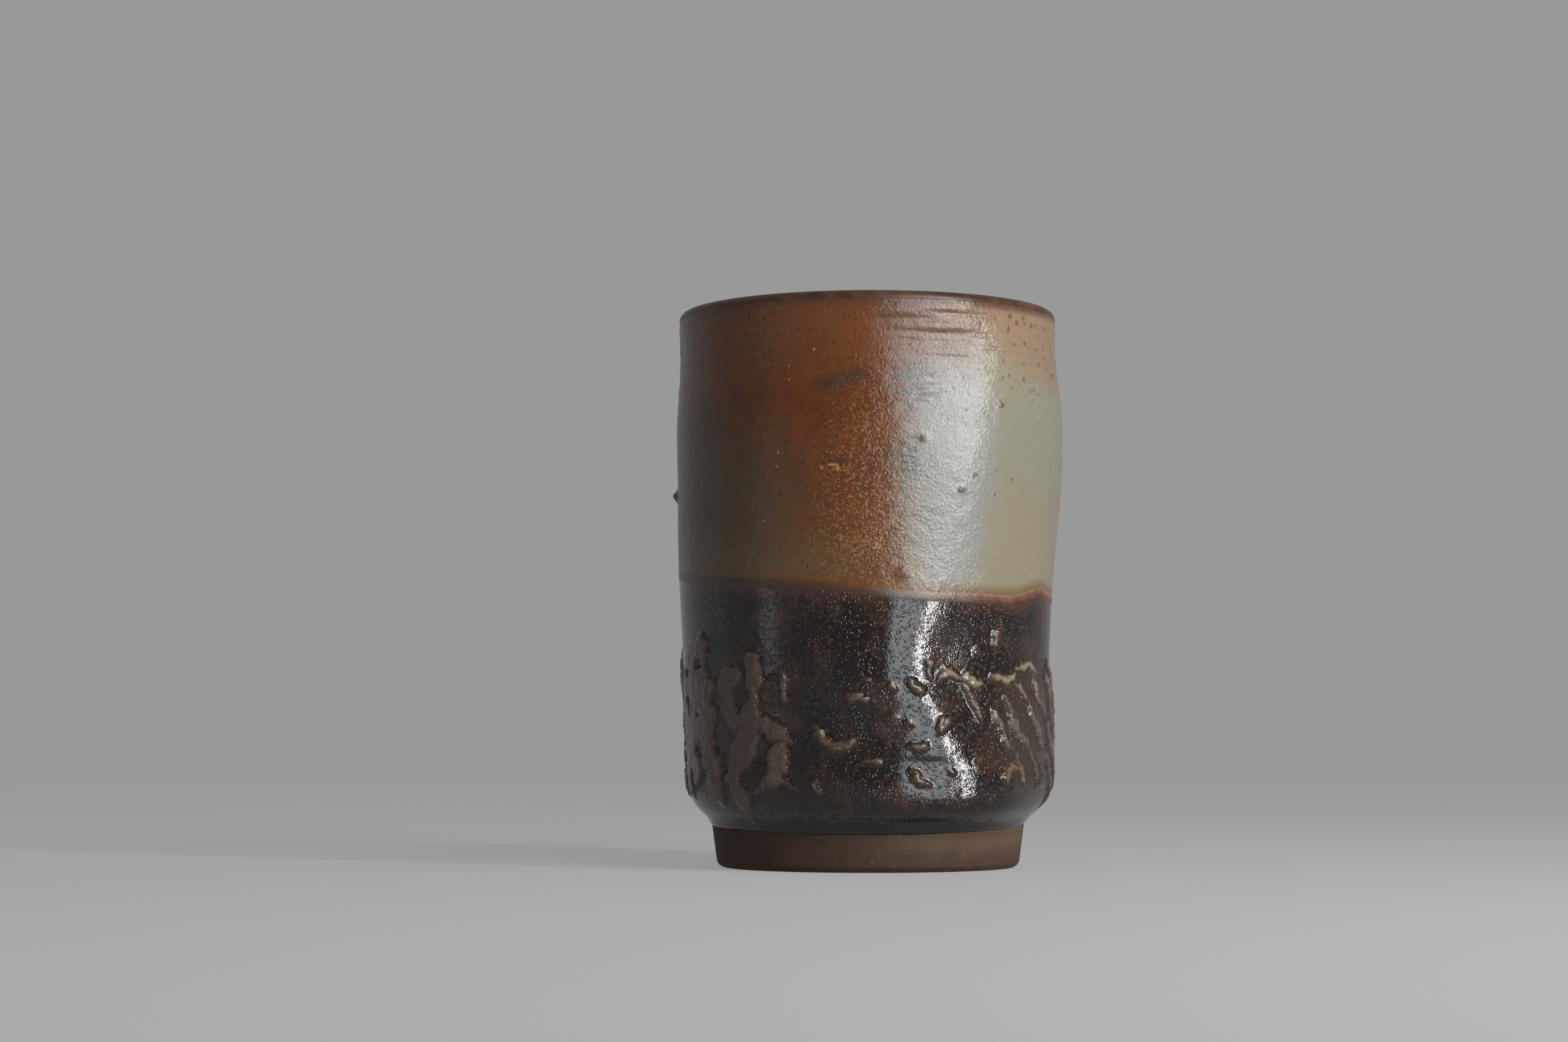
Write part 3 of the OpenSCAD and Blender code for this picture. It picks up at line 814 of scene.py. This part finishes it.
overlap_glaze, tree = begin_finish("overlap glaze", IOR=1.55)
spot = use(tree, round_wall)
mottle = noise(spot["Place"], 1.6, seed=2, detail=3.0)
above, below = attribute(tree, "above_edge"), attribute(tree, "below_edge")
level = above / (above + below) + (mottle - 0.5) * 1.2
red_line = patches(tree, blend(mottle, line_brown, line_red), [
    (line_olive, 0.8, -75, 50, 45, 20, 0.4, 0.3, 4),
    (line_pink, 0.9, 70, 47, 36, 20, 0.4, 0.3, 4),
    # Painted reflection: the front of the line is grey where the window's reflection crosses it.
    (line_reflection_grey, 0.9, 17, 47, 14, 20, 0.4, 0.3, 4)])
ash_side = patches(tree, blend(mottle, low_rust, rust), [
    (olive, 1.0, -75, 50, 50, 20, 0.4, 0.3, 4),
    (blend(mottle, sage, pink_tan), 0.8, 75, 47, 55, 20, 0.3, 0.3, 4)])
colour = blend(level.rise(0.0, 0.6), bleed, red_line)
colour = blend(level.rise(0.55, 1.1), colour, ash_side)
end_finish(overlap_glaze, colour, 0.26 + mottle * 0.12, dimpled(tree, 0.4, seed=4), depth=0.05)

# %% [markdown]
# The lower coat is an iron glaze, nearly black where it lies thick. Over the raised slip it ran thin
# and the clay colour breaks through: brown on the broad strokes at the left, tan at the front, pale on
# the combed strokes at the right, and dark brown between them. The slip that the coat's tree has stored
# is the mask for that, so colour and relief can't drift apart. Fine crystals roughen the skin, so that
# reflections sparkle.

# %% Iron glaze
black, brown_black, flecked = (0.01, 0.0065, 0.005), (0.03, 0.014, 0.008), (0.055, 0.027, 0.015)
left_ground, right_ground = (0.035, 0.021, 0.014), (0.06, 0.039, 0.027)
slip_brown, slip_tan, slip_grey = (0.11, 0.066, 0.045), (0.11, 0.076, 0.042), (0.12, 0.1, 0.082)
slip_pale, slip_rust, halo = (0.27, 0.22, 0.145), (0.2, 0.125, 0.065), (0.07, 0.03, 0.016)
rust_fleck = (0.12, 0.05, 0.025)

iron_glaze, tree = begin_finish("iron glaze", IOR=1.55)
spot = use(tree, round_wall)
mottle = noise(spot["Place"], 6, seed=5, detail=4.0)
fine = noise(spot["Place"], 0.7, seed=6, detail=2.0)
runs = noise(spot["Place"].vector("MULTIPLY", (1, 1, 0.25)), 1.6, seed=7, detail=3.0)
colour = blend((mottle + runs - 0.5).rise(0.4, 0.75), black, brown_black)
colour = blend((fine + mottle - 0.5).rise(0.52, 0.72) * 0.7, colour, flecked)
# Painted reflection: where the window's reflection falls on the front, the red bleed under the line is
# mostly left out, so that the glaze there reads grey like that reflection.
lit_front = zone(tree, 17, 47, 14, 20)
bleeding = (attribute(tree, "below_edge") + mottle * 2).rise(3.4, 0.6)
colour = blend(bleeding * (1 - lit_front * 0.8), colour, bleed)
colour = blend((attribute(tree, "above_edge") + mottle * 2).rise(6.5, 3.5) * 0.9, colour, black)
colour = patches(tree, colour, [
    (left_ground, 0.7, -64, 26, 30, 13, 0.5, 0.5, 4),
    (right_ground, 0.6, 63, 24, 20, 12, 0.5, 0.5, 3)])
thin = patches(tree, blend(mottle, slip_tan, slip_brown), [
    (slip_brown, 0.9, -70, 25, 40, 40, 0.3, 0.3, 8),
    (slip_grey, 0.9, 66, 24, 34, 16, 0.4, 0.3, 8),
    (slip_pale, 0.95, 50, 35, 32, 5.5, 0.4, 0.4, 4),
    (slip_rust, 0.9, 49, 13, 9, 5, 0.4, 0.4, 4)])
slip = attribute(tree, "slip")
ragged = (fine - 0.5) * 0.7
colour = blend((slip + ragged).rise(0.05, 0.4) * 0.6, colour, halo)
colour = blend((slip + ragged + (mottle - 0.5) * 0.6).rise(0.3, 1.0), colour, thin)
colour = blend(scatter(tree, 1.5, 0.45, 0.18, seed=15) * 0.6, colour, rust_fleck)
crystals = scatter(tree, 0.55, 0.36, 0.85, seed=25)
skin = dimpled(tree, 0.28, seed=6) + crystals * 3.0
end_finish(iron_glaze, colour, 0.05 + fine * 0.08 + slip * 0.12, skin, depth=0.024)

# %% [markdown]
# The lip, wiped thin, fired to a darker brown with a few yellow specks. It is too narrow to show zones,
# so two browns in a soft mottle are enough, and the specks stand up a little.

# %% Lip glaze
lip_dark, lip_brown, lip_yellow = (0.055, 0.022, 0.012), (0.11, 0.045, 0.022), (0.4, 0.26, 0.09)

lip_finish, tree = begin_finish("lip glaze", IOR=1.5)
spot = use(tree, round_wall)
mottle = noise(spot["Place"], 3, seed=7, detail=3.0)
colour = blend(mottle.rise(0.35, 0.7), lip_dark, lip_brown)
yellow = scatter(tree, 3.0, 0.55, 0.2, seed=17)
colour = blend(yellow * 0.8, colour, lip_yellow)
end_finish(lip_finish, colour, 0.3 + mottle * 0.15, dimpled(tree, 0.5, seed=8) + yellow, depth=0.03)

# %% [markdown]
# The glaze inside is taken to be the same iron glaze, a little browner, and warmer towards the lip. The
# outside finish reads slip and edges that a turned piece doesn't store, so this is one of its own.

# %% Liner glaze
liner_dark, liner_brown = (0.035, 0.02, 0.013), (0.085, 0.042, 0.022)
liner_rim, liner_speck = (0.13, 0.055, 0.028), (0.17, 0.075, 0.03)

liner_finish, tree = begin_finish("liner glaze", IOR=1.55)
spot = use(tree, round_wall)
mottle = noise(spot["Place"], 7, seed=9, detail=4.0)
colour = blend(mottle.rise(0.35, 0.7), liner_dark, liner_brown)
colour = blend(spot["Height"].rise(84, 96), colour, liner_rim)
colour = blend(scatter(tree, 1.6, 0.35, 0.35, seed=19) * 0.6, colour, liner_speck)
end_finish(liner_finish, colour, 0.2 + mottle * 0.12, dimpled(tree, 0.6, seed=10), depth=0.035)

# %% [markdown]
# The foot is bare clay, scraped with a tool on the wheel, which left fine lines round it: noise that
# changes with the height alone. Grog, the crushed pottery in the clay, shows as pale grit. At the right
# the flame has toasted it to tan.

# %% Bare clay
clay_dark, clay_brown, clay_tan = (0.057, 0.03, 0.019), (0.087, 0.047, 0.03), (0.15, 0.098, 0.052)
clay_scraped, clay_low, clay_grog = (0.06, 0.033, 0.024), (0.07, 0.035, 0.024), (0.17, 0.115, 0.08)

bare_clay, tree = begin_finish("bare clay", IOR=1.45)
spot = use(tree, round_wall)
mottle = noise(spot["Place"], 6, seed=11, detail=4.0)
turning = noise(join(0.0, 0.0, spot["Height"]), 0.35, seed=12, detail=3.0)
grog = scatter(tree, 0.9, 0.4, 0.3, seed=21)
colour = blend(mottle.rise(0.3, 0.7), clay_dark, clay_brown)
colour = patches(tree, colour, [(clay_tan, 0.8, 55, 7.5, 50, 4, 0.5, 0.4, 5)])
colour = blend(turning.rise(0.45, 0.7) * 0.5, colour, clay_scraped)
colour = blend(spot["Height"].rise(1.6, 0.3) * 0.6, colour, clay_low)
colour = blend(grog * 0.4, colour, clay_grog)
gritty = noise(spot["Place"], 0.35, seed=13, detail=3.0)
end_finish(bare_clay, colour, 0.7 + mottle * 0.15, gritty + turning + grog * 0.5, depth=0.06)

# %% [markdown]
# Now the trees make the pieces. The upper coat, the line and the lower coat share one tree and differ in
# their cuts, finishes, grids and relief. The lower coat takes the place of the slip as well, because the
# glaze runs over it as one skin. The clay, the foot, the inside and the lip are turned, each with the
# longest step along its outline and the depth and pitch of its rings, in millimetres.

# %% The pieces
coat_values = {"Wall": wall, "Strokes": frame["nodes"]["slip_strokes"], "Thickness": coat_thickness}
coats = [("upper_coat", "upper_glaze", ["upper_glaze"], ash_glaze, (480, 170, 16),
          {"Throwing": 1.1 * mm}),
         ("line_bead", "glaze_bead", ["glaze_bead"], overlap_glaze, (480, 12, 4),
          {"Crown": 0.05 * mm}),
         ("dark_coat", "dark_glaze", ["dark_glaze", "slip_strokes"], iron_glaze, (600, 150, 14),
          {"Edge_Roll": 0.8 * mm, "Slip_Rise": slip_rise})]
for name, slot, nodes, finish, (columns, rows, inner_rows), forms in coats:
    grown(name, coat, slot, nodes, **coat_values, **forms, Finish=finish, Columns=columns, Rows=rows,
          Inner_Rows=inner_rows, Lower=cut_plane(nodes[0], -1), Upper=cut_plane(nodes[0], 1))
turned_pieces = [("clay_wall", "stoneware", "clay_body", bare_clay, 3, 0.0, 1),
                 ("turned_foot", "foot_clay", "foot_ring", bare_clay, 0.15, 0.1, 0.5),
                 ("inside_coat", "liner_glaze", "liner_glaze", liner_finish, 1, 0.3, 5),
                 ("lip_coat", "lip_glaze", "lip_glaze", lip_finish, 0.3, 0.0, 1)]
for name, slot, node, finish, step, depth, pitch in turned_pieces:
    outline = strand(name + " outline", refined(section(node), step * mm))
    grown(name, turned, slot, [node], Finish=finish, Outline=outline, Columns=300,
          Ring_Depth=depth * mm, Ring_Pitch=pitch * mm)
    bpy.data.objects.remove(outline)
bpy.data.objects.remove(wall)

# %% [markdown]
# The cup stands on a plain pale sheet that sweeps up behind it. The sheet is seen brighter than it is
# lit, by the eye and in reflections alone, so that it looks pale and yet throws no more light on the cup.

# %% Floor
paper_grey, paper_glow, unlit = (0.21, 0.207, 0.205, 1), (0.27, 0.27, 0.274), (0, 0, 0)
paper_reach, paper_top = 12.0, 3.0
sweep_radius, sweep_back = 0.5, 1.1

paper_finish, tree = begin_finish("pale paper", Base_Color=paper_grey, Roughness=0.9,
                                  Emission_Strength=1)
path = tree.nodes.new("ShaderNodeLightPath")
rays = ("Is Camera Ray", "Is Glossy Ray", "Is Transmission Ray")
eye, mirror, glass = [Wire(tree, path.outputs[ray]) for ray in rays]
glow = blend(eye.math("MAXIMUM", mirror).math("MAXIMUM", glass), unlit, paper_glow)
tree.links.new(glow.socket, tree.nodes["Principled BSDF"].inputs["Emission Color"])

sweep = [(-paper_reach, 0.0), (sweep_back, 0.0)]
sweep += [(sweep_back + sweep_radius * math.sin(turn), sweep_radius * (1 - math.cos(turn)))
          for turn in np.linspace(0.1, math.pi / 2, 16)]
sweep += [(sweep_back + sweep_radius, paper_top)]
corners = [(x, y, z) for x in (-paper_reach, paper_reach) for y, z in sweep]
faces = [(i, i + len(sweep), i + len(sweep) + 1, i + 1) for i in range(len(sweep) - 1)]
paper = bpy.data.meshes.new("paper_sweep")
paper.from_pydata(corners, [], faces)
paper.polygons.foreach_set("use_smooth", [True] * len(faces))
paper.materials.append(paper_finish)
floor = bpy.data.objects.new("paper_sweep", paper)
scene.collection.objects.link(floor)
print("the paper has", len(faces), "faces")

# %% [markdown]
# The light is a broad soft window at the right front with a brighter strip at its far side, and a weak
# one at the left, in a dim and slightly warm room. A glossy glaze is seen by what it mirrors, so each is
# an area of a real size, and the wide and narrow streaks down the front are their reflections.

# %% Lights
daylight, sunlight, room_warmth = (0.86, 0.94, 1.0), (1.0, 0.98, 0.95), (1.0, 0.98, 0.95, 1)
room_level = 0.2


def softbox(name, azimuth, distance, width, height, low, radiance, colour):
    """A soft light that stands round the cup and faces it, from its low edge up."""
    lamp = bpy.data.lights.new(name, "AREA")
    lamp.shape = "RECTANGLE"
    lamp.size = width
    lamp.size_y = height
    lamp.energy = radiance * math.pi * width * height
    lamp.color = colour
    box = bpy.data.objects.new(name, lamp)
    turn = math.radians(azimuth)
    box.location = (distance * math.sin(turn), -distance * math.cos(turn), low + height / 2)
    box.rotation_euler = (math.radians(90), 0, turn)
    scene.collection.objects.link(box)


softbox("window", 33, 0.5, 0.243, 0.525, 0.0, 4.0, daylight)
softbox("window edge", 51.8, 0.5, 0.0294, 0.56, 0.0, 38.0, sunlight)
softbox("far window", -60, 0.95, 0.2, 0.08, 0.01, 1.4, daylight)
world = bpy.data.worlds.new("room")
scene.world = world
world.use_nodes = True
room = world.node_tree.nodes["Background"].inputs
room["Color"].default_value = room_warmth
room["Strength"].default_value = room_level
scene.view_settings.view_transform = "Standard"
